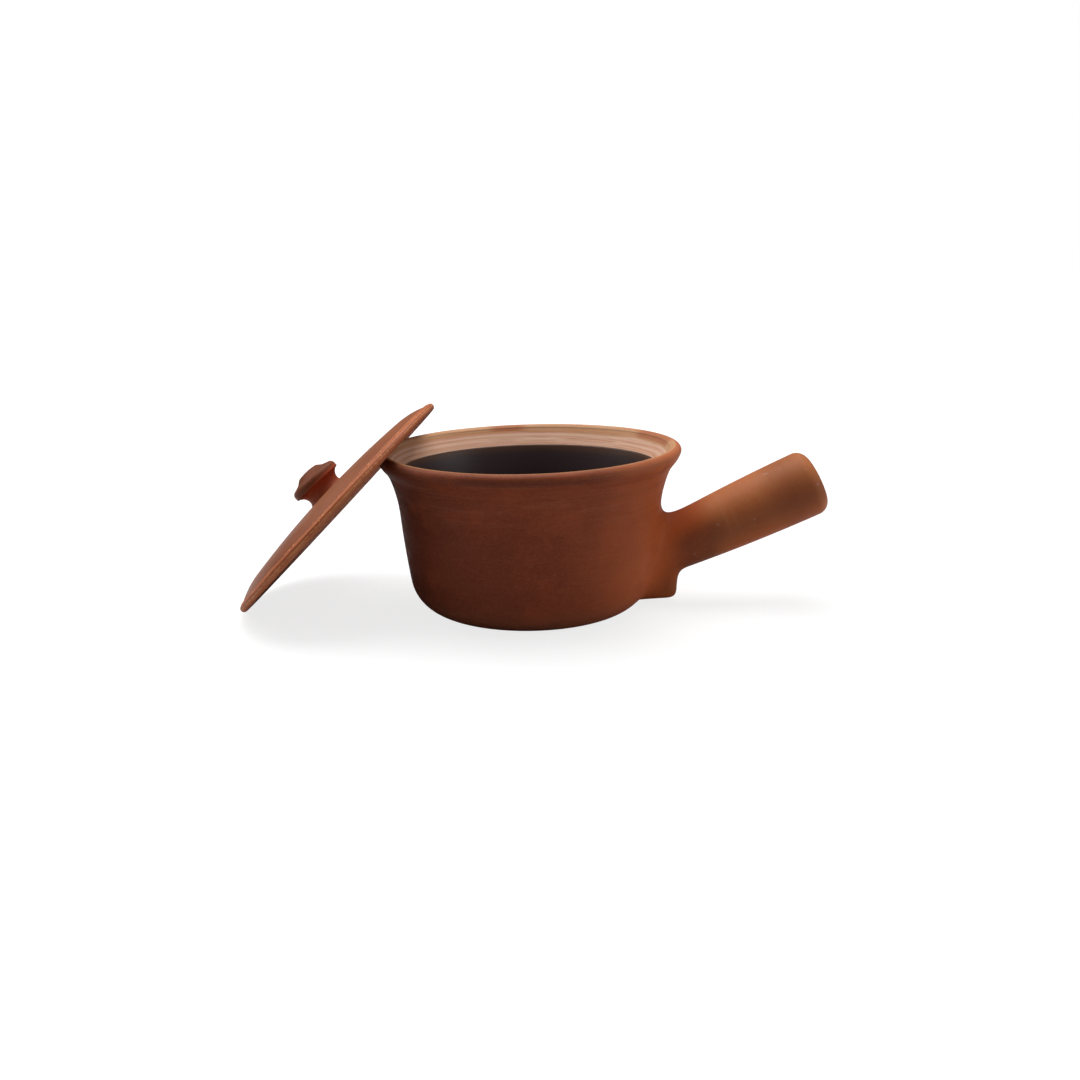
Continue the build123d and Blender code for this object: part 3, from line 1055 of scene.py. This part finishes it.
def make_knob_material():
    """Darker, redder clay in the knob's waist and browner clay on its worn top."""
    material, tree = new_material("knob_clay")
    own, radius, height = own_place(tree, lid_place())
    clouds = noise(tree, own, knob_cloud_size, 3.0)
    rings = turning_marks(tree, own, radius, height, knob_ring_pitch)
    colour = mixed(tree, faded(tree, height, *knob_top_zone), knob_red, knob_brown)
    colour = tinted(tree, colour, lid_red, faded(tree, clouds, *most_marks), share=0.4)
    colour = tinted(tree, colour, clay_brown, faded(tree, rings, *most_marks), share=0.3)
    roughness = scaled(tree, clouds, 0.4, 0.58)
    grain = noise(tree, own, lid_grain_size, 3.0, 0.7)
    finished(tree, colour, roughness, [(rings, knob_ring_depth), (grain, knob_grain_depth)])
    return material


def make_camera():
    """The photograph's viewpoint, looking at the middle of the pot's height."""
    target = Vector((0, 0, pot_height / 2 * MM))
    back = Vector((0, -math.cos(camera_elevation), math.sin(camera_elevation)))
    level = back.to_track_quat("Z", "Y").to_matrix()
    camera = bpy.data.objects.new("camera", bpy.data.cameras.new("camera"))
    camera.location = target + back * camera_distance
    camera.rotation_euler = (level @ Matrix.Rotation(camera_roll, 3, "Z")).to_euler()
    camera.data.lens = camera_lens
    camera.data.sensor_width = camera_sensor
    camera.data.shift_x, camera.data.shift_y = camera_shift
    camera.data.clip_start = camera_near
    bpy.context.scene.collection.objects.link(camera)
    bpy.context.scene.camera = camera


def grey(level):
    return (level, level, level, 1)


def make_floor():
    """The plain pale floor, which keeps a soft shadow and turns white with distance."""
    mesh = bpy.data.meshes.new("floor")
    half = floor_half_width
    corners = [(-half, -half, 0), (half, -half, 0), (half, half, 0), (-half, half, 0)]
    mesh.from_pydata(corners, [], [(0, 1, 2, 3)])
    floor = bpy.data.objects.new("floor", mesh)
    bpy.context.scene.collection.objects.link(floor)
    material, tree = new_material("floor")
    tree.nodes.clear()
    position = node(tree, "NewGeometry", {}).outputs["Position"]
    distance = node(tree, "VectorMath", {0: position}, operation="LENGTH").outputs["Value"]
    fade = {"Value": distance, "From Min": floor_fade[0], "From Max": floor_fade[1],
            "To Min": floor_glow[0], "To Max": floor_glow[1]}
    glow = node(tree, "Emission", {"Strength": node(tree, "MapRange", fade).outputs[0]}).outputs[0]
    seen = node(tree, "BsdfDiffuse", {"Color": grey(floor_seen_grey)}).outputs[0]
    both = node(tree, "AddShader", {0: seen, 1: glow}).outputs[0]
    bounce = node(tree, "BsdfDiffuse", {"Color": grey(floor_bounce_grey)}).outputs[0]
    to_camera = node(tree, "LightPath", {}).outputs["Is Camera Ray"]
    pick = node(tree, "MixShader", {0: to_camera, 1: bounce, 2: both}).outputs[0]
    node(tree, "OutputMaterial", {"Surface": pick})
    mesh.materials.append(material)


def make_world():
    """White to the camera, and a weak even light on the object."""
    world = bpy.context.scene.world or bpy.data.worlds.new("world")
    bpy.context.scene.world = world
    world.use_nodes = True
    tree = world.node_tree
    background = tree.nodes["Background"]
    to_camera = node(tree, "LightPath", {}).outputs["Is Camera Ray"]
    tree.links.new(scaled(tree, to_camera, world_strength, 1.0), background.inputs["Strength"])
    background.inputs["Color"].default_value = grey(1)


def make_lights():
    """Soft square lights that face the pot."""
    for name, place, size, power in lamps:
        light = bpy.data.objects.new(name, bpy.data.lights.new(name, "AREA"))
        light.data.size = size
        light.data.energy = power
        light.location = place
        light.rotation_euler = (Vector(place) - Vector(lamp_target)).to_track_quat("Z", "Y").to_euler()
        bpy.context.scene.collection.objects.link(light)


def main():
    make_bowl(make_bowl_material())
    make_glaze(make_glaze_material())
    make_handle(make_handle_material())
    make_root(make_root_material())
    make_lid(make_lid_material())
    make_knob(make_knob_material())
    make_camera()
    make_floor()
    make_world()
    make_lights()
    bpy.context.scene.view_settings.view_transform = "Standard"


main()
